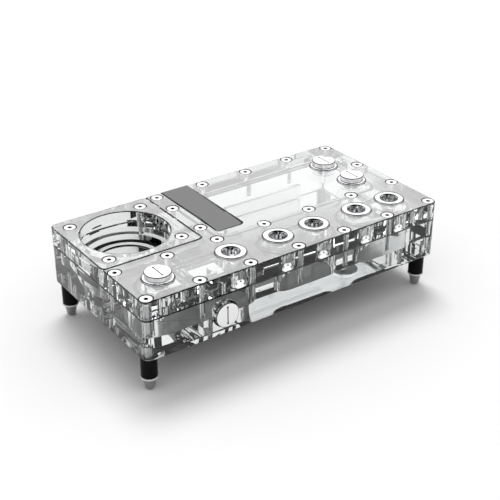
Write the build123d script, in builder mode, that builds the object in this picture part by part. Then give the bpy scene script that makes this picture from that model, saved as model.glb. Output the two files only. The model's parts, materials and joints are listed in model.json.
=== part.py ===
from build123d import *
import os

os.makedirs("parts", exist_ok=True)

# Water cooling distribution plate, in millimetres, +Z up.
# The origin is on the surface that the feet stand on, under the middle of the whole object.
# Plan positions are measured from the front left cover screw and turned into the frame by at().

# Screw grid and slab outline
pitch = 40.0                  # between neighbouring cover screws
columns = 6                   # pitches along the plate
rows = 3                      # pitches across the plate
edge_margin = 5.0             # outer screws to the plate's edge
corner_r = 4.6                # plan corners of the slabs
edge_break = 0.5              # polished chamfer along the slabs' edges

# Heights
foot_tip_h = 10.0
foot_post_h = 16.0
body_t = 30.0                 # milled lower slab
cover_t = 14.0                # top plate and pump frame

# Milled spaces in the body
reservoir_end_margin = 11.0   # reservoir's ends to the screws past them
reservoir_side_margin = 10.5  # reservoir's long sides to the rows of screws past them
reservoir_corner_r = 7.0
reservoir_deep = 25.5
baffle_start = 119.0
baffle_end = 190.0
baffle_y = 89.0
baffle_t = 4.0
baffle_drop = 2.0             # top of the baffle under the top plate
channel_r = 11.0
channel_deep = 20.0
channel_y = 19.0

# Ports
port_x = [77.0, 116.5, 148.0, 187.0, 218.5]
left_plug_at = (19.3, 17.6)
back_plug_at = (216.6, 93.3)
middle_plug_at = (217.3, 60.3)
drain_x = 56.3
drain_below_top = 28.9
drain_sink = 2.6              # drain insert's seat inside the front face
thread_bore_r = 5.9           # tapping size of the G1/4 thread
thread_pitch = 1.337          # G1/4, per turn
insert_flange_r = 11.0
drain_flange_r = 9.7          # narrower flange of the drain's insert
insert_flange_t = 2.0
insert_proud = 1.0            # flange above the face that it seats in
insert_barrel_r = 7.4
insert_len = 8.5
insert_key_af = 12.0          # hexagon at the insert's inner end
insert_key_len = 2.5
insert_fit = 0.05             # radial, insert in acrylic
port_throat_r = 6.6           # hole in the acrylic below an insert

# Stop plugs
plug_head_r = 9.1
plug_head_h = 4.0
plug_shank_len = 8.0
plug_clearance = 0.15         # shank inside the thread
plug_groove_deep = 0.45
plug_groove_width = 0.8       # share of the thread's pitch
plug_pin_pitch = 12.2         # two holes for a pin key
plug_pin_r = 0.75
plug_pin_deep = 1.5
plug_line_w = 0.8             # shallow line milled from pin hole to pin hole
plug_line_deep = 0.25
plug_seat_gap = 0.1           # head and O-ring over the insert's face
plug_seal_in_r = 6.4
plug_seal_out_r = 7.8
plug_seal_h = 1.4
plug_seal_gap = 0.2           # O-ring inside its groove

# Gaskets
cord_w = 2.8                  # pressed cord, across
cord_h = 2.2                  # pressed cord, and depth of its groove
groove_side_gap = 0.1
gasket_offset = 3.6           # milled edge to the middle of the cord
insert_seal_w = 1.5
insert_seal_deep = 0.7
insert_seal_from_top = 3.4    # insert's face to its O-ring groove

# Screws
screw_r = 2.0
screw_head_r = 4.3
screw_rim = 0.2
screw_sink = 0.2              # head below the slab's face
screw_len = 26.5
screw_point = 2.0
screw_key_af = 2.5
screw_key_deep = 1.8
screw_hole_fit = 0.25
tapped_fit = 0.05
tapped_spare = 1.0            # hole below the screw's point
bridge_screw_y = [61.0, 98.0]

# Pump seat
frame_to_screws = 7.0         # pump frame's inner edges to the rows of cover screws past them
pump_frame_inner_r = 4.0      # plan corners of the frame beside the top plate
plate_gap = 0.2               # between pump frame and top plate
pump_screw_margin = 10.6      # frame's edge to its screws
pump_hole_r = 31.4
pump_lip = 3.4                # frame's lip over the pump's flange
pump_flange_from_top = 8.0    # underside of the lip
pump_flange_floor = 18.0      # below the top face
pump_ring_inset = 0.8         # black ring inside the opening
pump_ring_w = 4.9
pump_ring_h = 3.0
pump_ring_from_top = 22.0     # top of the black ring
pump_ring_gap = 0.1
volute_lip = 3.7              # black ring to the volute
volute_from_top = 31.5
pump_eye_r = 8.0
pump_eye_from_top = 40.0
suction_r = 3.7
suction_from_top = 36.0
outlet_x = 50.0
passage_r = 4.5
passage_from_top = 27.0

# Badge strip
badge_to_screws = 6.5         # strip's left edge to the screws beside it
badge_to_row = 9.0            # strip's front end to the row of screws before it
badge_w = 22.5
badge_corner_r = 3.0
badge_t = 2.0
badge_recess = 2.2
badge_gap = 0.35
badge_panel_l = 22.0          # square front end of the strip
badge_panel_step = 0.15

# Feet
foot_x = (1.2, 236.0)         # left and right feet
foot_y = (3.0, 114.8)         # front and back feet
foot_post_r = 5.65
foot_post_break = 0.5
foot_flange_r = 5.9
foot_flange_t = 0.8
foot_cone_top_r = 4.8
foot_cone_end_r = 3.1
foot_end_round = 2.4
stud_r = 2.0
stud_fit = 0.05
stud_in_tip = 4.0
stud_in_body = 8.0

# Sizes that follow from the ones above
plate_l = columns * pitch + 2 * edge_margin
plate_w = rows * pitch + 2 * edge_margin
body_z = foot_tip_h + foot_post_h
seam_z = body_z + body_t
top_z = seam_z + cover_t
face_proud = insert_proud + plug_seat_gap + plug_head_h - drain_sink
origin_x = -columns * pitch / 2
origin_y = -rows * pitch / 2 + face_proud / 2
front_y = origin_y - edge_margin
back_y = front_y + plate_w
left_x = origin_x - edge_margin
sink_r = screw_head_r + screw_sink + screw_rim + tapped_fit
reservoir_left = 2 * pitch + reservoir_end_margin
reservoir_right = columns * pitch - reservoir_end_margin
reservoir_front = pitch + reservoir_side_margin
reservoir_back = rows * pitch - reservoir_side_margin
pump_frame_side = edge_margin + 2 * pitch - frame_to_screws
pump_screw_pitch = pump_frame_side - 2 * pump_screw_margin
pump_flange_r = pump_hole_r + pump_lip
pump_ring_out_r = pump_hole_r - pump_ring_inset
pump_ring_in_r = pump_ring_out_r - pump_ring_w
volute_r = pump_ring_in_r - volute_lip


def at(x, y):
    """Plan place in the frame of a point measured from the front left cover screw."""
    return (origin_x + x, origin_y + y)


plate_mid = at(columns * pitch / 2, rows * pitch / 2)
pump_mid = (left_x + pump_frame_side / 2, back_y - pump_frame_side / 2)

cover_screw_places = [at(i * pitch, 0) for i in range(columns + 1)]
cover_screw_places += [at(columns * pitch, j * pitch) for j in range(1, rows + 1)]
cover_screw_places += [at(i * pitch, rows * pitch) for i in range(2, columns)]
cover_screw_places += [at(i * pitch, pitch) for i in range(columns)]
cover_screw_places += [at(2 * pitch, y) for y in bridge_screw_y]
half_pump_pitch = pump_screw_pitch / 2
pump_screw_places = [
    (pump_mid[0] + i * half_pump_pitch, pump_mid[1] + j * half_pump_pitch)
    for i in (-1, 1)
    for j in (-1, 1)
]
port_places = [at(x, channel_y) for x in port_x]
top_plug_places = [at(*left_plug_at), at(*back_plug_at), at(*middle_plug_at)]
drain_place = (origin_x + drain_x, front_y + drain_sink, top_z - drain_below_top)
foot_places = [at(x, y) for y in foot_y for x in foot_x]

# Plan middles and lengths of the three channels: left plug to first port, second to third, fourth to fifth
channel_ends = [
    (left_plug_at[0], port_x[0]),
    (port_x[1], port_x[2]),
    (port_x[3], port_x[4]),
]
channel_mids = [at((a + b) / 2, channel_y) for a, b in channel_ends]
channel_spans = [b - a for a, b in channel_ends]

reservoir_l = reservoir_right - reservoir_left
reservoir_w = reservoir_back - reservoir_front
reservoir_mid = at(
    (reservoir_left + reservoir_right) / 2,
    (reservoir_front + reservoir_back) / 2,
)

badge_x = 2 * pitch + badge_to_screws + badge_w / 2
badge_front = pitch + badge_to_row
badge_l = rows * pitch + edge_margin - badge_front

face_plane = Plane(origin=drain_place, x_dir=(1, 0, 0), z_dir=(0, -1, 0))
groove_w = cord_w + 2 * groove_side_gap

# Body block: the slab that holds the water, milled from its upper face
with BuildPart() as body_block:
    with BuildSketch(Plane.XY.offset(body_z)):
        with Locations(plate_mid):
            RectangleRounded(plate_l, plate_w, corner_r)
    extrude(amount=body_t)
    chamfer(body_block.edges().group_by(Axis.Z)[0], edge_break)
    chamfer(body_block.edges().group_by(Axis.Z)[-1], edge_break)

    # Reservoir, with the baffle left standing on its floor
    with BuildSketch(Plane.XY.offset(seam_z)):
        with Locations(reservoir_mid):
            RectangleRounded(reservoir_l, reservoir_w, reservoir_corner_r)
    extrude(amount=-reservoir_deep, mode=Mode.SUBTRACT)
    with BuildSketch(Plane.XY.offset(seam_z - reservoir_deep)):
        with Locations(at((baffle_start + baffle_end) / 2, baffle_y)):
            SlotOverall(baffle_end - baffle_start, baffle_t)
    extrude(amount=reservoir_deep - baffle_drop)

    # Port channels
    for mid, span in zip(channel_mids, channel_spans):
        with BuildSketch(Plane.XY.offset(seam_z)):
            with Locations(mid):
                SlotCenterToCenter(span, 2 * channel_r)
        extrude(amount=-channel_deep, mode=Mode.SUBTRACT)

    # Gasket grooves round the reservoir and the channels
    with BuildSketch(Plane.XY.offset(seam_z)):
        with Locations(reservoir_mid):
            reach = 2 * gasket_offset + groove_w
            RectangleRounded(
                reservoir_l + reach, reservoir_w + reach, reservoir_corner_r + reach / 2
            )
            reach = 2 * gasket_offset - groove_w
            RectangleRounded(
                reservoir_l + reach,
                reservoir_w + reach,
                reservoir_corner_r + reach / 2,
                mode=Mode.SUBTRACT,
            )
    extrude(amount=-cord_h, mode=Mode.SUBTRACT)
    for mid, span in zip(channel_mids, channel_spans):
        with BuildSketch(Plane.XY.offset(seam_z)):
            with Locations(mid):
                outer_r = channel_r + gasket_offset + groove_w / 2
                SlotCenterToCenter(span, 2 * outer_r)
                inner_r = outer_r - groove_w
                SlotCenterToCenter(span, 2 * inner_r, mode=Mode.SUBTRACT)
        extrude(amount=-cord_h, mode=Mode.SUBTRACT)

    # Pump well: flange seat, ring groove, volute and the suction eye under it
    with BuildSketch(Plane.XY.offset(seam_z)):
        with Locations(pump_mid):
            Circle(pump_flange_r)
    extrude(amount=-(pump_flange_floor - cover_t), mode=Mode.SUBTRACT)
    with BuildSketch(Plane.XY.offset(seam_z)):
        with Locations(pump_mid):
            Circle(pump_ring_out_r + pump_ring_gap)
    extrude(amount=-(pump_ring_from_top - cover_t), mode=Mode.SUBTRACT)
    with BuildSketch(Plane.XY.offset(seam_z)):
        with Locations(pump_mid):
            Circle(pump_ring_out_r + pump_ring_gap)
            Circle(pump_ring_in_r - pump_ring_gap, mode=Mode.SUBTRACT)
    extrude(amount=-(pump_ring_from_top + pump_ring_h - cover_t), mode=Mode.SUBTRACT)
    with Locations((*pump_mid, seam_z)):
        Hole(volute_r, depth=volute_from_top - cover_t)
        Hole(pump_eye_r, depth=pump_eye_from_top - cover_t)

    # Passages: suction from the reservoir, outlet to the left channel, return from the right channel
    with BuildSketch(Plane.YZ.offset(pump_mid[0])):
        with Locations((pump_mid[1], top_z - suction_from_top)):
            Circle(suction_r)
    suction_run = origin_x + reservoir_left + suction_r - pump_mid[0]
    extrude(amount=suction_run, mode=Mode.SUBTRACT)
    outlet_y = origin_y + channel_y
    with BuildSketch(Plane.XZ.offset(-outlet_y)):
        with Locations((origin_x + outlet_x, top_z - passage_from_top)):
            Circle(passage_r)
    extrude(amount=-(pump_mid[1] - outlet_y), mode=Mode.SUBTRACT)
    with BuildSketch(Plane.XZ.offset(-outlet_y)):
        with Locations((origin_x + port_x[4], top_z - passage_from_top)):
            Circle(passage_r)
    return_run = reservoir_front + passage_r - channel_y
    extrude(amount=-return_run, mode=Mode.SUBTRACT)

    # Drain: pocket and seat for its threaded insert, and the passage into the left channel
    with BuildSketch(face_plane):
        Circle(drain_flange_r + insert_fit)
    extrude(amount=drain_sink, mode=Mode.SUBTRACT)
    with Locations(face_plane):
        CounterBoreHole(
            insert_barrel_r + insert_fit,
            drain_flange_r + insert_fit,
            insert_flange_t - insert_proud,
            depth=insert_len - insert_proud,
        )
        Hole(port_throat_r, depth=edge_margin + channel_y - channel_r)

    # Tapped holes for the screws, and for the studs of the feet
    tapped_deep = screw_len + tapped_spare - cover_t
    with Locations(*[(x, y, seam_z) for x, y in cover_screw_places + pump_screw_places]):
        Hole(screw_r + tapped_fit, depth=tapped_deep)
    with BuildSketch(Plane.XY.offset(body_z)):
        with Locations(*foot_places):
            Circle(stud_r + stud_fit)
    extrude(amount=stud_in_body + tapped_spare, mode=Mode.SUBTRACT)
body_block.part.label = "body_block"
export_step(body_block.part, "parts/body_block.step")

# Top plate: L-shaped cover over the reservoir and the channels
with BuildPart() as top_plate:
    with BuildSketch(Plane.XY.offset(seam_z)):
        with Locations(plate_mid):
            RectangleRounded(plate_l, plate_w, corner_r)
        with Locations(pump_mid):
            bay_side = pump_frame_side + 2 * plate_gap
            bay_r = pump_frame_inner_r + plate_gap
            RectangleRounded(bay_side, bay_side, bay_r, mode=Mode.SUBTRACT)
        with Locations((pump_mid[0] - bay_side / 2, pump_mid[1])):
            Rectangle(bay_side, bay_side, mode=Mode.SUBTRACT)
        with Locations((pump_mid[0], pump_mid[1] + bay_side / 2)):
            Rectangle(bay_side, bay_side, mode=Mode.SUBTRACT)
    extrude(amount=cover_t)
    chamfer(top_plate.edges().group_by(Axis.Z)[0], edge_break)
    chamfer(top_plate.edges().group_by(Axis.Z)[-1], edge_break)

    # Recess for the badge strip, open to the back edge
    with BuildSketch(Plane.XY.offset(top_z)):
        recess_l = badge_l + badge_corner_r
        with Locations(at(badge_x, badge_front + recess_l / 2)):
            RectangleRounded(
                badge_w + 2 * badge_gap, recess_l + 2 * badge_gap, badge_corner_r + badge_gap
            )
    extrude(amount=-badge_recess, mode=Mode.SUBTRACT)

    # Seats of the threaded inserts, and throats through to the channels and the reservoir
    with Locations(*[(x, y, top_z) for x, y in port_places + top_plug_places]):
        CounterBoreHole(
            insert_barrel_r + insert_fit,
            insert_flange_r + insert_fit,
            insert_flange_t - insert_proud,
            depth=insert_len - insert_proud,
        )
        Hole(port_throat_r, depth=cover_t)

    # Countersunk screw holes
    with Locations(*[(x, y, top_z) for x, y in cover_screw_places]):
        CounterSinkHole(
            screw_r + screw_hole_fit, sink_r, depth=cover_t, counter_sink_angle=90
        )
top_plate.part.label = "top_plate"
export_step(top_plate.part, "parts/top_plate.step")

# Pump frame: square collar that clamps the pump's flange
with BuildPart() as pump_frame:
    with BuildSketch(Plane.XY.offset(seam_z)):
        with Locations(pump_mid):
            RectangleRounded(pump_frame_side, pump_frame_side, pump_frame_inner_r)
    extrude(amount=cover_t)
    chamfer(pump_frame.edges().group_by(Axis.Z)[0], edge_break)
    chamfer(pump_frame.edges().group_by(Axis.Z)[-1], edge_break)
    with BuildSketch(Plane.XY.offset(seam_z)):
        with Locations(pump_mid):
            Circle(pump_flange_r)
    extrude(amount=cover_t - pump_flange_from_top, mode=Mode.SUBTRACT)
    with Locations((*pump_mid, top_z)):
        Hole(pump_hole_r, depth=cover_t)
    top_circles = pump_frame.edges().filter_by(GeomType.CIRCLE).group_by(Axis.Z)[-1]
    chamfer(top_circles.group_by(SortBy.RADIUS)[-1], edge_break)
    with Locations(*[(x, y, top_z) for x, y in pump_screw_places]):
        CounterSinkHole(
            screw_r + screw_hole_fit, sink_r, depth=cover_t, counter_sink_angle=90
        )
pump_frame.part.label = "pump_frame"
export_step(pump_frame.part, "parts/pump_frame.step")

# Pump seal ring: flat black ring that the pump's rim presses on
with BuildPart() as pump_seal_ring:
    with BuildSketch(Plane.XY.offset(top_z - pump_ring_from_top - pump_ring_h)):
        with Locations(pump_mid):
            Circle(pump_ring_out_r)
            Circle(pump_ring_in_r, mode=Mode.SUBTRACT)
    extrude(amount=pump_ring_h)
    fillet(pump_seal_ring.edges().group_by(Axis.Z)[-1], pump_ring_h / 4)
pump_seal_ring.part.label = "pump_seal_ring"
export_step(pump_seal_ring.part, "parts/pump_seal_ring.step")

# Badge strip: metal plate with a square front panel and a long plain field behind it
with BuildPart() as badge_plate:
    badge_floor = top_z - badge_recess
    with BuildSketch(Plane.XY.offset(badge_floor)):
        with Locations(at(badge_x, badge_front + badge_l / 2)):
            Rectangle(badge_w, badge_l)
    extrude(amount=badge_t)
    front_corners = badge_plate.edges().filter_by(Axis.Z).group_by(Axis.Y)[0]
    fillet(front_corners, badge_corner_r)
    with BuildSketch(Plane.XY.offset(badge_floor + badge_t)):
        with Locations(at(badge_x, badge_front + badge_panel_l / 2)):
            Rectangle(badge_w, badge_panel_l)
    extrude(amount=-badge_panel_step, mode=Mode.SUBTRACT)
badge_plate.part.label = "badge_plate"
export_step(badge_plate.part, "parts/badge_plate.step")

# Reservoir gasket: pressed cord in its groove
with BuildPart() as reservoir_gasket:
    with BuildSketch(Plane.XY.offset(seam_z - cord_h)):
        with Locations(reservoir_mid):
            reach = 2 * gasket_offset + cord_w
            RectangleRounded(
                reservoir_l + reach, reservoir_w + reach, reservoir_corner_r + reach / 2
            )
            reach = 2 * gasket_offset - cord_w
            RectangleRounded(
                reservoir_l + reach,
                reservoir_w + reach,
                reservoir_corner_r + reach / 2,
                mode=Mode.SUBTRACT,
            )
    extrude(amount=cord_h)
    chamfer(reservoir_gasket.edges().group_by(Axis.Z)[-1], cord_h / 4)
    chamfer(reservoir_gasket.edges().group_by(Axis.Z)[0], cord_h / 4)
reservoir_gasket.part.label = "reservoir_gasket"
export_step(reservoir_gasket.part, "parts/reservoir_gasket.step")

# Channel gaskets: three stadium shaped cords
channel_names = ["left", "middle", "right"]
for name, mid, span in zip(channel_names, channel_mids, channel_spans):
    with BuildPart() as channel_gasket:
        with BuildSketch(Plane.XY.offset(seam_z - cord_h)):
            with Locations(mid):
                SlotCenterToCenter(span, 2 * (channel_r + gasket_offset) + cord_w)
                SlotCenterToCenter(span, 2 * (channel_r + gasket_offset) - cord_w, mode=Mode.SUBTRACT)
        extrude(amount=cord_h)
        chamfer(channel_gasket.edges().group_by(Axis.Z)[-1], cord_h / 4)
        chamfer(channel_gasket.edges().group_by(Axis.Z)[0], cord_h / 4)
    channel_gasket.part.label = f"channel_gasket_{name}"
    export_step(channel_gasket.part, f"parts/channel_gasket_{name}.step")

# Planes that look out of each threaded insert's face, on the slab's surface
port_planes = [Plane(origin=(x, y, top_z)) for x, y in port_places]
plug_planes = [Plane(origin=(x, y, top_z)) for x, y in top_plug_places] + [face_plane]
insert_names = [f"port_insert_{i + 1}" for i in range(len(port_x))]
insert_names += ["left_plug_insert", "back_plug_insert", "middle_plug_insert", "drain_insert"]
plug_names = ["left_plug", "back_plug", "middle_plug", "drain_plug"]

# Threaded insert: flange, grooved barrel, tapped bore and a hexagon at its inner end
insert_end_z = insert_proud - insert_len
flange_under_z = insert_proud - insert_flange_t
seal_top_z = insert_proud - insert_seal_from_top
seal_floor_r = insert_barrel_r - insert_seal_deep
rim_break = edge_break / 2
insert_shapes = {}
for flange_r in (insert_flange_r, drain_flange_r):
    with BuildPart() as threaded_insert:
        with BuildSketch(Plane.XZ):
            with BuildLine():
                Polyline(
                    (thread_bore_r + edge_break, insert_proud),
                    (flange_r - rim_break, insert_proud),
                    (flange_r, insert_proud - rim_break),
                    (flange_r, flange_under_z),
                    (insert_barrel_r, flange_under_z),
                    (insert_barrel_r, seal_top_z),
                    (seal_floor_r, seal_top_z),
                    (seal_floor_r, seal_top_z - insert_seal_w),
                    (insert_barrel_r, seal_top_z - insert_seal_w),
                    (insert_barrel_r, insert_end_z),
                    (thread_bore_r, insert_end_z),
                    (thread_bore_r, insert_proud - edge_break),
                    close=True,
                )
            make_face()
        revolve(axis=Axis.Z)
        with BuildSketch(Plane.XY.offset(insert_end_z)):
            RegularPolygon(insert_key_af / 2, 6, major_radius=False)
        extrude(amount=insert_key_len, mode=Mode.SUBTRACT)
    insert_shapes[flange_r] = threaded_insert.part
for name, plane in zip(insert_names, port_planes + plug_planes):
    with BuildPart() as placed_insert:
        with Locations(plane):
            add(insert_shapes[drain_flange_r if plane is face_plane else insert_flange_r])
    placed_insert.part.label = name
    export_step(placed_insert.part, f"parts/{name}.step")

# O-rings in the grooves of the inserts' barrels
with BuildPart() as one_insert_seal:
    with BuildSketch(Plane.XZ):
        with Locations((seal_floor_r + insert_seal_deep / 2, seal_top_z - insert_seal_w / 2)):
            Rectangle(insert_seal_deep, insert_seal_w - groove_side_gap)
    revolve(axis=Axis.Z)
with BuildPart() as insert_seals:
    with Locations(*(port_planes + plug_planes)):
        add(one_insert_seal.part)
insert_seals.part.label = "insert_seals"
export_step(insert_seals.part, "parts/insert_seals.step")

# Stop plug: round head with two pin holes, threaded shank and a groove for its O-ring
with BuildPart() as stop_plug:
    head_z = insert_proud + plug_seat_gap
    shank_r = thread_bore_r - plug_clearance
    with BuildSketch(Plane.XY.offset(head_z)):
        Circle(plug_head_r)
    extrude(amount=plug_head_h)
    fillet(stop_plug.edges().group_by(Axis.Z)[-1], edge_break)
    chamfer(stop_plug.edges().group_by(Axis.Z)[0], edge_break / 2)
    with BuildSketch(Plane.XY.offset(head_z)):
        Circle(plug_seal_out_r + plug_seal_gap)
        Circle(shank_r, mode=Mode.SUBTRACT)
    extrude(amount=plug_seal_h + plug_seal_gap, mode=Mode.SUBTRACT)
    with BuildSketch(Plane.XY.offset(head_z + plug_seal_h)):
        Circle(shank_r)
    extrude(amount=-plug_seal_h - plug_shank_len)
    chamfer(stop_plug.edges().group_by(Axis.Z)[0], edge_break)
    turns = int((plug_shank_len - edge_break) / thread_pitch)
    with BuildSketch(Plane.XZ):
        with BuildLine():
            groove_half = thread_pitch * plug_groove_width / 2
            for i in range(turns):
                groove_z = head_z - (i + 0.5) * thread_pitch
                Polyline(
                    (shank_r, groove_z - groove_half),
                    (shank_r - plug_groove_deep, groove_z),
                    (shank_r, groove_z + groove_half),
                    close=True,
                )
        make_face()
    revolve(axis=Axis.Z, mode=Mode.SUBTRACT)
    with BuildSketch(Plane.XY.offset(head_z + plug_head_h)):
        Rectangle(plug_line_w, plug_pin_pitch)
    extrude(amount=-plug_line_deep, mode=Mode.SUBTRACT)
    with BuildSketch(Plane.XY.offset(head_z + plug_head_h)):
        with Locations((0, -plug_pin_pitch / 2), (0, plug_pin_pitch / 2)):
            Circle(plug_pin_r)
    extrude(amount=-plug_pin_deep, mode=Mode.SUBTRACT)
with BuildPart() as plug_seal:
    with BuildSketch(Plane.XY.offset(head_z)):
        Circle(plug_seal_out_r)
        Circle(plug_seal_in_r, mode=Mode.SUBTRACT)
    extrude(amount=plug_seal_h)
    fillet(plug_seal.edges(), plug_seal_h / 4)
for name, plane in zip(plug_names, plug_planes):
    with BuildPart() as placed_plug:
        with Locations(plane):
            add(stop_plug.part)
    placed_plug.part.label = name
    export_step(placed_plug.part, f"parts/{name}.step")
    with BuildPart() as placed_seal:
        with Locations(plane):
            add(plug_seal.part)
    placed_seal.part.label = f"{name}_seal"
    export_step(placed_seal.part, f"parts/{name}_seal.step")

# Countersunk screw: hex socket, cone under the head, pointed shaft
with BuildPart() as countersunk_screw:
    with BuildSketch(Plane.XZ):
        with BuildLine():
            cone_h = screw_head_r - screw_r
            Polyline(
                (0, -screw_sink),
                (screw_head_r, -screw_sink),
                (screw_head_r, -screw_sink - screw_rim),
                (screw_r, -screw_sink - screw_rim - cone_h),
                (screw_r, -screw_len + screw_point),
                (0, -screw_len),
                close=True,
            )
        make_face()
    revolve(axis=Axis.Z)
    with BuildSketch(Plane.XY.offset(-screw_sink)):
        RegularPolygon(screw_key_af / 2, 6, major_radius=False)
    extrude(amount=-screw_key_deep, mode=Mode.SUBTRACT)
with BuildPart() as cover_screws:
    with Locations(*[(x, y, top_z) for x, y in cover_screw_places]):
        add(countersunk_screw.part)
cover_screws.part.label = "cover_screws"
export_step(cover_screws.part, "parts/cover_screws.step")
with BuildPart() as pump_frame_screws:
    with Locations(*[(x, y, top_z) for x, y in pump_screw_places]):
        add(countersunk_screw.part)
pump_frame_screws.part.label = "pump_frame_screws"
export_step(pump_frame_screws.part, "parts/pump_frame_screws.step")

# Feet: rubber tip, black post and the stud that holds both to the body
with BuildPart() as foot_tip:
    with BuildSketch(Plane.XZ):
        with BuildLine():
            Polyline(
                (0, foot_tip_h),
                (foot_flange_r, foot_tip_h),
                (foot_flange_r, foot_tip_h - foot_flange_t),
                (foot_cone_top_r, foot_tip_h - foot_flange_t),
                (foot_cone_end_r, 0),
                (0, 0),
                close=True,
            )
        make_face()
    revolve(axis=Axis.Z)
    fillet(foot_tip.edges().group_by(Axis.Z)[0], foot_end_round)
    with Locations((0, 0, foot_tip_h)):
        Hole(stud_r + stud_fit, depth=stud_in_tip + tapped_spare)
with BuildPart() as foot_post:
    with BuildSketch(Plane.XY.offset(foot_tip_h)):
        Circle(foot_post_r)
        Circle(stud_r + stud_fit, mode=Mode.SUBTRACT)
    extrude(amount=foot_post_h)
    outer_rims = foot_post.edges().filter_by(GeomType.CIRCLE).group_by(SortBy.RADIUS)[-1]
    chamfer(outer_rims, foot_post_break)
foot_names = ["front_left", "front_right", "back_left", "back_right"]
for name, place in zip(foot_names, foot_places):
    with BuildPart() as placed_tip:
        with Locations(place):
            add(foot_tip.part)
    placed_tip.part.label = f"foot_tip_{name}"
    export_step(placed_tip.part, f"parts/foot_tip_{name}.step")
    with BuildPart() as placed_post:
        with Locations(place):
            add(foot_post.part)
    placed_post.part.label = f"foot_post_{name}"
    export_step(placed_post.part, f"parts/foot_post_{name}.step")
with BuildPart() as foot_studs:
    with BuildSketch(Plane.XY.offset(foot_tip_h - stud_in_tip)):
        with Locations(*foot_places):
            Circle(stud_r)
    extrude(amount=stud_in_tip + foot_post_h + stud_in_body)
    chamfer(foot_studs.edges().filter_by(GeomType.CIRCLE), edge_break / 2)
foot_studs.part.label = "foot_studs"
export_step(foot_studs.part, "parts/foot_studs.step")
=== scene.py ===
import json
from math import asin, atan2, cos, degrees, pi, radians, sin

import bmesh
import bpy
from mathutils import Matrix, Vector


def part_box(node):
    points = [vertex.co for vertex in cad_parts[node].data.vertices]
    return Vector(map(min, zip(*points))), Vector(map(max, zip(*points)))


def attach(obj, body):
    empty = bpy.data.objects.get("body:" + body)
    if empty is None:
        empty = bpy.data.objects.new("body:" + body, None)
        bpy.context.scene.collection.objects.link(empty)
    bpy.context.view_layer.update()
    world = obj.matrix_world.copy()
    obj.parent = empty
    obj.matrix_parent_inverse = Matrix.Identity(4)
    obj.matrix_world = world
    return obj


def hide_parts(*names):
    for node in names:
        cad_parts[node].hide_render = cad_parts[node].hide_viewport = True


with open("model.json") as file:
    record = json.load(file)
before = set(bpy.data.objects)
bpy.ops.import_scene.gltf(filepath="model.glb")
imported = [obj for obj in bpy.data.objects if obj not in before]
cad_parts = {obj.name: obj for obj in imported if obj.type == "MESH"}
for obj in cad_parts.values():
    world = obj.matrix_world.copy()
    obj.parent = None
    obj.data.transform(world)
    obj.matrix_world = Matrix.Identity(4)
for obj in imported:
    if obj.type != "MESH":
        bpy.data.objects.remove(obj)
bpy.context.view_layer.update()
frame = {"nodes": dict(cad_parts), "record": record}

# The camera
# A long lens looks down on the front left corner of the plate, so that the front face,
# the left face and the whole top show.
view_from = Vector((-0.3957, -0.5587, 0.4138))
view_tilt = radians(28.61)
view_turn = radians(-35.38)
camera_data = bpy.data.cameras.new("camera")
camera_data.sensor_width = 36.0
camera_data.lens = 76.77
camera_data.clip_start = 0.01
camera = bpy.data.objects.new("camera", camera_data)
camera.location = view_from
camera.rotation_euler = (pi / 2 - view_tilt, 0.0, view_turn)
scene = bpy.context.scene
scene.collection.objects.link(camera)
scene.camera = camera

# The studio
# A white floor in a white surround, with one wide soft lamp high behind the plate, so that
# its shadow falls to the front. The clear slabs throw a full shadow, and the light paths
# are cut short, which gives the acrylic the hard splinters of the photograph.
scene.view_settings.view_transform = "Standard"
scene.cycles.max_bounces = 12
scene.cycles.transmission_bounces = 10
scene.cycles.glossy_bounces = 5
scene.cycles.caustics_refractive = False
scene.cycles.caustics_reflective = False

surround_seen = 1.0         # strength for camera, mirrored and bent rays
surround_lit = 0.7          # and for the light that it casts
floor_tone = 0.93
# Painted shade: glass and chrome show the floor a little darker than the camera sees it.
floor_tone_mirrored = 0.88  # the floor as glass and chrome show it
floor_size = 12.0


def any_ray(tree, first, *others):
    """1 for rays of the named kinds, else 0."""
    path = tree.nodes.new("ShaderNodeLightPath")
    found = path.outputs[first]
    for kind in others:
        either = tree.nodes.new("ShaderNodeMath")
        either.operation = "MAXIMUM"
        tree.links.new(found, either.inputs[0])
        tree.links.new(path.outputs[kind], either.inputs[1])
        found = either.outputs[0]
    return found


world = bpy.data.worlds.new("white_surround")
scene.world = world
world.use_nodes = True
world_tree = world.node_tree
world_tree.nodes.clear()
world_mix = world_tree.nodes.new("ShaderNodeMixShader")
world_out = world_tree.nodes.new("ShaderNodeOutputWorld")
for socket, strength in ((1, surround_lit), (2, surround_seen)):
    background = world_tree.nodes.new("ShaderNodeBackground")
    background.inputs["Color"].default_value = (1.0, 1.0, 1.0, 1.0)
    background.inputs["Strength"].default_value = strength
    world_tree.links.new(background.outputs[0], world_mix.inputs[socket])
seen_ray = any_ray(world_tree, "Is Camera Ray", "Is Glossy Ray", "Is Transmission Ray")
world_tree.links.new(seen_ray, world_mix.inputs[0])
world_tree.links.new(world_mix.outputs[0], world_out.inputs["Surface"])

bpy.ops.object.select_all(action="DESELECT")
bpy.ops.mesh.primitive_plane_add(size=floor_size)
floor = bpy.context.object
floor.name = "studio_floor"
floor_mat = bpy.data.materials.new("studio_floor")
floor_mat.use_nodes = True
floor_tree = floor_mat.node_tree
floor_bsdf = floor_tree.nodes["Principled BSDF"]
floor_mix = floor_tree.nodes.new("ShaderNodeMix")
floor_mix.data_type = "RGBA"
floor_mix.inputs["A"].default_value = (floor_tone, floor_tone, floor_tone, 1.0)
floor_mix.inputs["B"].default_value = (
    floor_tone_mirrored, floor_tone_mirrored, floor_tone_mirrored, 1.0
)
# Painted shade: the darker floor tone for mirrored and bent rays.
mirrored_ray = any_ray(floor_tree, "Is Glossy Ray", "Is Transmission Ray")
floor_tree.links.new(mirrored_ray, floor_mix.inputs["Factor"])
floor_tree.links.new(floor_mix.outputs["Result"], floor_bsdf.inputs["Base Color"])
floor_bsdf.inputs["Roughness"].default_value = 1.0
floor_bsdf.inputs["Specular IOR Level"].default_value = 0.0
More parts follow.
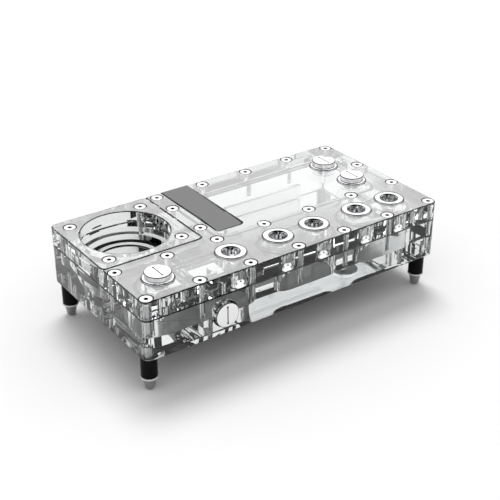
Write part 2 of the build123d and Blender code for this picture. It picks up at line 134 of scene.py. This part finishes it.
floor.data.materials.append(floor_mat)

lamp_height = radians(66.0)
lamp_turn = radians(28.0)
lamp_data = bpy.data.lights.new("softbox", "SUN")
lamp_data.energy = 1.45
lamp_data.angle = radians(26.0)
lamp = bpy.data.objects.new("softbox", lamp_data)
lamp_from = Vector(
    (sin(lamp_turn) * cos(lamp_height), cos(lamp_turn) * cos(lamp_height), sin(lamp_height))
)
lamp.rotation_euler = lamp_from.to_track_quat("Z", "Y").to_euler()
scene.collection.objects.link(lamp)

# Black flags
# Glass and chrome are drawn by what they mirror, so a black tent with eight windows stands
# round the set. Only mirrored and bent rays see it, and it throws no shade.
tent_r = 5.0
tent_low = -1.0             # degrees of height
window_low, window_high = 12.0, 55.0
window_step = 90.0          # each kind of window comes again after a quarter turn
windows = ((degrees(-view_turn), 13.0), (0.0, 11.0))     # azimuth and half width, in degrees


def open_dome(name, radius, rings, is_open):
    """A sphere round the set, without the faces whose height and azimuth are open."""
    bpy.ops.object.select_all(action="DESELECT")
    bpy.ops.mesh.primitive_uv_sphere_add(segments=180, ring_count=rings, radius=radius)
    dome = bpy.context.object
    dome.name = name
    shell = bmesh.new()
    shell.from_mesh(dome.data)
    gone = []
    for face in shell.faces:
        way = face.calc_center_median().normalized()
        if is_open(degrees(asin(way.z)), degrees(atan2(way.x, way.y))):
            gone.append(face)
    bmesh.ops.delete(shell, geom=gone, context="FACES")
    shell.to_mesh(dome.data)
    shell.free()
    return dome


def out_of_lens(piece):
    """Keep a stage piece for mirrored and bent rays alone."""
    piece.visible_camera = False
    piece.visible_diffuse = False
    piece.visible_shadow = False


def in_window(height, around):
    """True below the tent's edge and in its windows."""
    half_step = window_step / 2
    near = any(
        abs((around - at + half_step) % window_step - half_step) < half for at, half in windows
    )
    return height < tent_low or (near and window_low < height < window_high)


tent = open_dome("black_flags", tent_r, 90, in_window)
black = bpy.data.materials.new("black_flags")
black.use_nodes = True
black_bsdf = black.node_tree.nodes["Principled BSDF"]
black_bsdf.inputs["Base Color"].default_value = (0.0, 0.0, 0.0, 1.0)
black_bsdf.inputs["Specular IOR Level"].default_value = 0.0
tent.data.materials.append(black)
out_of_lens(tent)

# The low flag
# A black strip stands close behind the top plate, so that the upper half of the front
# face reads dark.
flag_long, flag_high = 0.26, 0.0135
bpy.ops.object.select_all(action="DESELECT")
bpy.ops.mesh.primitive_plane_add(size=1.0)
near_flag = bpy.context.object
near_flag.name = "near_flag"
near_flag.scale = (flag_long, flag_high, 1.0)
near_flag.location = (0.075, 0.0695, 0.0631)
near_flag.rotation_euler = (pi / 2, 0.0, 0.0)
near_flag.data.materials.append(black)
out_of_lens(near_flag)

# The bright band
# It runs round the set inside the flags. The top face and the plugs' heads mirror it,
# which lays the pale veil over the top. It fades downwards, so that flat looks don't glare.
band_r = 4.6
band_low, band_high = 9.0, 44.0
fade_low, fade_high = 15.0, 25.0
band_strength = 1.45        # at the photograph's angle
band_strength_low = 0.62    # and where only a flat look meets it
band = open_dome(
    "bright_band", band_r, 180, lambda height, around: not band_low < height < band_high
)
glow = bpy.data.materials.new("bright_band")
glow.use_nodes = True
glow_tree = glow.node_tree
glow_bsdf = glow_tree.nodes["Principled BSDF"]
glow_bsdf.inputs["Base Color"].default_value = (0.0, 0.0, 0.0, 1.0)
glow_bsdf.inputs["Emission Color"].default_value = (1.0, 1.0, 1.0, 1.0)
glow_place = glow_tree.nodes.new("ShaderNodeTexCoord")
glow_split = glow_tree.nodes.new("ShaderNodeSeparateXYZ")
glow_fade = glow_tree.nodes.new("ShaderNodeMapRange")
glow_fade.inputs["From Min"].default_value = band_r * sin(radians(fade_low))
glow_fade.inputs["From Max"].default_value = band_r * sin(radians(fade_high))
glow_fade.inputs["To Min"].default_value = band_strength_low
glow_fade.inputs["To Max"].default_value = band_strength
glow_tree.links.new(glow_place.outputs["Object"], glow_split.inputs[0])
glow_tree.links.new(glow_split.outputs["Z"], glow_fade.inputs["Value"])
glow_tree.links.new(glow_fade.outputs[0], glow_bsdf.inputs["Emission Strength"])
band.data.materials.append(glow)
band.visible_transmission = False
out_of_lens(band)

# The clear slabs
# Body block, top plate and pump frame are milled from clear cast acrylic and polished.
# Their chamfers, the walls of their shallow seats and thin rims round their top and side faces get
# a near black tint: painted shade along the edges.
MM = 0.001
touch = 0.01 * MM           # closer than this, two heights are the same
merge_within = 0.001 * MM
sharp_edge = radians(40.0)
nodes = frame["nodes"]
body_of = {
    node: body for body, held in frame["record"]["behaviour"]["bodies"].items() for node in held
}
slot_of = {row["node"]: row["material_slot"] for row in frame["record"]["subparts"]}


def surface_grain():
    """Shader group: fine noise that varies gloss and height over a surface."""
    group = bpy.data.node_groups.new("surface_grain", "ShaderNodeTree")
    for name, value in (("Scale", 800.0), ("Detail", 4.0), ("Gloss Low", 0.1), ("Gloss High", 0.2)):
        socket = group.interface.new_socket(name, in_out="INPUT", socket_type="NodeSocketFloat")
        socket.default_value = value
    stretch = group.interface.new_socket("Stretch", in_out="INPUT", socket_type="NodeSocketVector")
    stretch.default_value = (1.0, 1.0, 1.0)
    depth = group.interface.new_socket("Depth", in_out="INPUT", socket_type="NodeSocketFloat")
    depth.default_value = 0.1
    group.interface.new_socket("Grain", in_out="OUTPUT", socket_type="NodeSocketFloat")
    group.interface.new_socket("Roughness", in_out="OUTPUT", socket_type="NodeSocketFloat")
    group.interface.new_socket("Normal", in_out="OUTPUT", socket_type="NodeSocketVector")
    gn, gl = group.nodes, group.links
    given, made = gn.new("NodeGroupInput"), gn.new("NodeGroupOutput")
    place, spread = gn.new("ShaderNodeTexCoord"), gn.new("ShaderNodeVectorMath")
    spread.operation = "MULTIPLY"
    noise, gloss, bump = (
        gn.new("ShaderNodeTexNoise"), gn.new("ShaderNodeMapRange"), gn.new("ShaderNodeBump")
    )
    bump.inputs["Distance"].default_value = 0.1 * MM
    gl.new(place.outputs["Object"], spread.inputs[0])
    gl.new(given.outputs["Stretch"], spread.inputs[1])
    gl.new(spread.outputs[0], noise.inputs["Vector"])
    gl.new(given.outputs["Scale"], noise.inputs["Scale"])
    gl.new(given.outputs["Detail"], noise.inputs["Detail"])
    gl.new(noise.outputs[0], gloss.inputs["Value"])
    gl.new(given.outputs["Gloss Low"], gloss.inputs["To Min"])
    gl.new(given.outputs["Gloss High"], gloss.inputs["To Max"])
    gl.new(noise.outputs[0], bump.inputs["Height"])
    gl.new(given.outputs["Depth"], bump.inputs["Strength"])
    gl.new(noise.outputs[0], made.inputs["Grain"])
    gl.new(gloss.outputs[0], made.inputs["Roughness"])
    gl.new(bump.outputs[0], made.inputs["Normal"])
    return group


grain_group = surface_grain()


def finish(
    name, color, gloss, scale, depth, metallic=0.0, specular=0.5, stretch=(1.0, 1.0, 1.0)
):
    """A Principled material whose gloss and height vary with the grain group."""
    material = bpy.data.materials.new(name)
    material.use_nodes = True
    tree = material.node_tree
    bsdf = tree.nodes["Principled BSDF"]
    bsdf.inputs["Base Color"].default_value = (*color, 1.0)
    bsdf.inputs["Metallic"].default_value = metallic
    bsdf.inputs["Specular IOR Level"].default_value = specular
    grain = tree.nodes.new("ShaderNodeGroup")
    grain.name = "grain"
    grain.node_tree = grain_group
    grain.inputs["Scale"].default_value = scale
    grain.inputs["Gloss Low"].default_value = gloss[0]
    grain.inputs["Gloss High"].default_value = gloss[1]
    grain.inputs["Depth"].default_value = depth
    grain.inputs["Stretch"].default_value = stretch
    tree.links.new(grain.outputs["Roughness"], bsdf.inputs["Roughness"])
    tree.links.new(grain.outputs["Normal"], bsdf.inputs["Normal"])
    return material


def dressed_copy(node, material, smooth_to=35.0, lip=0.0, rim=None):
    """A merged, smooth shaded copy of a CAD node, with its finish, that stands for it."""
    piece = nodes[node].copy()
    piece.data = nodes[node].data.copy()
    piece.name = node + "_dressed"
    piece.parent = None
    for key in list(piece.keys()):
        if key.startswith("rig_"):
            del piece[key]
    scene.collection.objects.link(piece)
    bpy.ops.object.select_all(action="DESELECT")
    piece.select_set(True)
    bpy.context.view_layer.objects.active = piece
    bpy.ops.mesh.customdata_custom_splitnormals_clear()
    bpy.ops.object.mode_set(mode="EDIT")
    bpy.ops.mesh.select_all(action="SELECT")
    bpy.ops.mesh.remove_doubles(threshold=merge_within)
    bpy.ops.object.mode_set(mode="OBJECT")
    piece.data.materials.clear()
    piece.data.materials.append(material)
    if rim:
        piece.data.materials.append(rim)
    if lip:
        axis, side = (1, -1.0) if node.startswith("drain") else (2, 1.0)
        shape = bmesh.new()
        shape.from_mesh(piece.data)
        outermost = max(side * vertex.co[axis] for vertex in shape.verts)
        edges = [
            edge for edge in shape.edges
            if all(abs(side * vertex.co[axis] - outermost) < touch for vertex in edge.verts)
            and edge.calc_face_angle(0.0) > sharp_edge
        ]
        bmesh.ops.bevel(
            shape, geom=edges, offset=lip, segments=1, affect="EDGES", clamp_overlap=False,
            material=1 if rim else -1,
        )
        shape.to_mesh(piece.data)
        shape.free()
    bpy.ops.object.shade_smooth_by_angle(angle=radians(smooth_to))
    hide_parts(node)
    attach(piece, body_of[node])
    return piece


def clear_finish(name, color):
    """Clear acrylic with the faint waves that polishing leaves."""
    material = finish(name, color, (0.0, 0.012), 90.0, 0.04)
    bsdf = material.node_tree.nodes["Principled BSDF"]
    bsdf.inputs["IOR"].default_value = 1.49
    bsdf.inputs["Transmission Weight"].default_value = 1.0
    return material


clear_tone = (0.87, 0.885, 0.885)
acrylic = clear_finish("clear_acrylic", clear_tone)
# Painted shade: a near black clear tint for the chamfers, seat walls and rim lines of the slabs.
acrylic_painted_edge = clear_finish("clear_acrylic_painted_edge", (0.006, 0.006, 0.006))
acrylic_top = clear_finish("clear_acrylic_top", clear_tone)
painted_edge_index, top_index = 1, 2     # their places among a slab's materials
top_bsdf = acrylic_top.node_tree.nodes["Principled BSDF"]
top_bsdf.inputs["Coat Weight"].default_value = 1.0
top_bsdf.inputs["Coat IOR"].default_value = 3.0
top_bsdf.inputs["Coat Roughness"].default_value = 0.0
seam_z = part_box("body_block")[1].z
top_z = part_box("top_plate")[1].z
seam_film = 0.06 * MM       # air left between the slabs, so that no two clear faces coincide
seat_deep = 2.3 * MM        # deepest shallow seat in the top face
line_w = 0.35 * MM          # dark line along the rims of the top faces
seam_line_w = 0.2 * MM      # and along the side faces' rims
perimeter = 2.2 * MM        # every outer side face lies this close to the slab's box
full_height = 0.8           # and is at least this much of its height
upright_z = 0.1             # largest normal Z of an upright face
slant_z = (0.3, 0.95)       # normal Z of chamfers and countersinks
level_z = 0.99
for node in ("body_block", "top_plate", "pump_frame"):
    slab = dressed_copy(node, acrylic)
    slab.data.materials.append(acrylic_painted_edge)
    slab.data.materials.append(acrylic_top)
    low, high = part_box(node)
    shape = bmesh.new()
    shape.from_mesh(slab.data)
    shape.normal_update()
    upper, outer = [], []
    for face in shape.faces:
        middle = face.calc_center_median()
        lowest = min(vertex.co.z for vertex in face.verts)
        highest = max(vertex.co.z for vertex in face.verts)
        upright = abs(face.normal.z) < upright_z
        to_side = min(middle.x - low.x, high.x - middle.x, middle.y - low.y, high.y - middle.y)
        slanted = slant_z[0] < abs(face.normal.z) < slant_z[1]
        tall = highest - lowest > full_height * (high.z - low.z)
        # Painted shade: slanted faces, seat walls and the inset rim lines take the near black tint.
        if slanted or (upright and lowest > top_z - seat_deep):
            face.material_index = painted_edge_index
        elif face.normal.z > level_z and lowest > top_z - touch:
            face.material_index = top_index
            upper.append(face)
        elif upright and to_side < perimeter and tall:
            outer.append(face)
    for region, width in ((upper, line_w), (outer, seam_line_w)):
        if region:
            lines = bmesh.ops.inset_region(shape, faces=region, thickness=width, use_boundary=True)
            for face in lines["faces"]:
                face.material_index = painted_edge_index
    if node != "body_block":
        for vertex in shape.verts:
            if abs(vertex.co.z - seam_z) < seam_film / 2:
                vertex.co.z += seam_film
    shape.to_mesh(slab.data)
    shape.free()

# Screws
# Polished steel, with a hexagon socket in the flat head. The thread on the shank is a fine
# wave in the finish.
steel = finish("polished_steel", (0.82, 0.82, 0.83), (0.04, 0.12), 1500.0, 0.05, metallic=1.0)
# Painted shade: a near black steel for the floor of each hexagon socket and for the lip bevelled
# round each head.
painted_shade_steel = finish("painted_shade_steel", (0.02, 0.02, 0.02), (0.3, 0.5), 1500.0, 0.1, metallic=1.0)
thread_pitch = 0.7 * MM
thread_from, thread_full = 3.5 * MM, 4.0 * MM     # below the top face
thread_deep = 0.15 * MM
screw_lip = 0.2 * MM
socket_deep = 2.0 * MM
socket_near = 0.05 * MM
steel_tree = steel.node_tree
spot = steel_tree.nodes.new("ShaderNodeTexCoord")
thread = steel_tree.nodes.new("ShaderNodeTexWave")
thread.wave_type = "BANDS"
thread.bands_direction = "Z"
thread.inputs["Scale"].default_value = pi / 10 / thread_pitch     # a wave runs 20 radians a unit
below_head = steel_tree.nodes.new("ShaderNodeMapRange")
below_head.inputs["From Min"].default_value = top_z - thread_full
below_head.inputs["From Max"].default_value = top_z - thread_from
below_head.inputs["To Min"].default_value = 1.0
below_head.inputs["To Max"].default_value = 0.0
split = steel_tree.nodes.new("ShaderNodeSeparateXYZ")
thread_bump = steel_tree.nodes.new("ShaderNodeBump")
thread_bump.inputs["Distance"].default_value = thread_deep
for start, end in (
    (spot.outputs["Object"], thread.inputs["Vector"]),
    (spot.outputs["Object"], split.inputs[0]),
    (split.outputs["Z"], below_head.inputs["Value"]),
    (below_head.outputs[0], thread_bump.inputs["Strength"]),
    (thread.outputs["Fac"], thread_bump.inputs["Height"]),
    (steel_tree.nodes["grain"].outputs["Normal"], thread_bump.inputs["Normal"]),
    (thread_bump.outputs[0], steel_tree.nodes["Principled BSDF"].inputs["Normal"]),
):
    steel_tree.links.new(start, end)
for node in ("cover_screws", "pump_frame_screws", "foot_studs"):
    screws = dressed_copy(node, steel, lip=screw_lip, rim=painted_shade_steel)
    # Painted shade: faces at the socket's floor take the near black steel.
    for face in screws.data.polygons:
        lowest = min(screws.data.vertices[i].co.z for i in face.vertices)
        if abs(lowest - (top_z - socket_deep)) < socket_near:
            face.material_index = 1

# Threaded inserts and stop plugs
# Bright chrome over brass, lapped flat on the faces. Only a trace of grain shows in it.
# Their rims, lines and pin holes get a near black chrome, painted shade.
chrome = finish("chrome", (0.88, 0.88, 0.89), (0.02, 0.07), 2500.0, 0.02, metallic=1.0)
chrome_painted_shade = finish("chrome_painted_shade", (0.05, 0.05, 0.05), (0.05, 0.1), 2500.0, 0.02, metallic=1.0)
insert_lip = 0.45 * MM
key_reach = 7.2 * MM        # line and pin holes lie inside this radius of a plug's head
key_deep = 1.6 * MM
rim_round = 0.5 * MM        # round on the head's outer edge
for node, slot in slot_of.items():
    if slot != "chrome":
        continue
    if not node.endswith("plug"):
        dressed_copy(node, chrome, lip=insert_lip, rim=chrome_painted_shade)
        continue
    plug = dressed_copy(node, chrome, rim=chrome_painted_shade)
    low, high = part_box(node)
    middle = (low + high) / 2
    axis, head = (1, low.y) if node == "drain_plug" else (2, high.z)
    rim_reach = (high.x - low.x) / 2 - rim_round
    for face in plug.data.polygons:
        off_axis = face.center - middle
        off_axis[axis] = 0.0
        # Painted shade: faces in the line and pin holes and round the head's outer edge take the
        # near black chrome.
        depth = abs(face.center[axis] - head)
        in_key = touch < depth < key_deep and off_axis.length < key_reach
        in_rim = depth < rim_round and off_axis.length > rim_reach
        if in_key or in_rim:
            face.material_index = 1

# Badge strip
# Grey anodised aluminium with a fine brushing along the strip. A near black border on its
# upper faces is painted shade for the dark line round it.
anodised = finish(
    "grey_anodised", (0.19, 0.19, 0.195), (0.45, 0.62), 1800.0, 0.12,
    specular=0.25, stretch=(1.0, 0.04, 1.0),
)
badge_painted_edge = finish("badge_painted_edge", (0.01, 0.01, 0.01), (0.3, 0.4), 1800.0, 0.05, specular=0.0)
badge_border = 0.8 * MM
badge_face_deep = 0.2 * MM  # its upper faces lie this close to its highest point
badge = dressed_copy("badge_plate", anodised, rim=badge_painted_edge)
badge_mesh = bmesh.new()
badge_mesh.from_mesh(badge.data)
badge_mesh.normal_update()
badge_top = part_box("badge_plate")[1].z
upper_faces = [
    face for face in badge_mesh.faces
    if face.calc_center_median().z > badge_top - badge_face_deep
]
# Painted shade: a near black border inset round the badge's upper faces.
border = bmesh.ops.inset_region(
    badge_mesh, faces=upper_faces, thickness=badge_border, use_boundary=True, use_even_offset=True
)
for face in border["faces"]:
    face.material_index = 1
badge_mesh.to_mesh(badge.data)
badge_mesh.free()

# Gaskets and seals
# Black rubber rings at the pump, the plugs and the inserts, and grey silicone cords round
# the milled spaces.
black_rubber = finish(
    "black_rubber", (0.012, 0.012, 0.012), (0.3, 0.5), 2200.0, 0.15, specular=0.08
)
grey_rubber = finish("grey_silicone", (0.05, 0.05, 0.05), (0.25, 0.4), 1600.0, 0.12, specular=0.1)
for node, slot in slot_of.items():
    if slot == "black_rubber":
        dressed_copy(node, black_rubber, smooth_to=50.0)
    if slot == "grey_rubber":
        dressed_copy(node, grey_rubber, smooth_to=50.0)

# Feet
# Gloss black posts on grey tips. The tips shine, and the top of each tip's flange under the
# post is painted pale, a painted highlight.
gloss_black = finish(
    "gloss_black", (0.006, 0.006, 0.006), (0.06, 0.12), 900.0, 0.03, specular=0.05
)
foot_grey = finish("foot_rubber", (0.26, 0.26, 0.26), (0.1, 0.2), 1500.0, 0.05, metallic=0.7)
foot_grey.node_tree.nodes["Principled BSDF"].inputs["Coat Weight"].default_value = 0.8
foot_painted_highlight = finish("foot_flange_painted_highlight", (0.8, 0.8, 0.8), (0.2, 0.3), 1500.0, 0.05)
flange_t = 0.8 * MM         # flange at the top of the tip
for node, slot in slot_of.items():
    if slot == "black_plastic":
        dressed_copy(node, gloss_black)
    if slot == "foot_rubber":
        foot = dressed_copy(node, foot_grey, smooth_to=50.0, rim=foot_painted_highlight)
        flange_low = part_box(node)[1].z - flange_t
        # Painted highlight: the faces at the top of each tip take the pale material.
        for face in foot.data.polygons:
            if face.center.z > flange_low - touch:
                face.material_index = 1
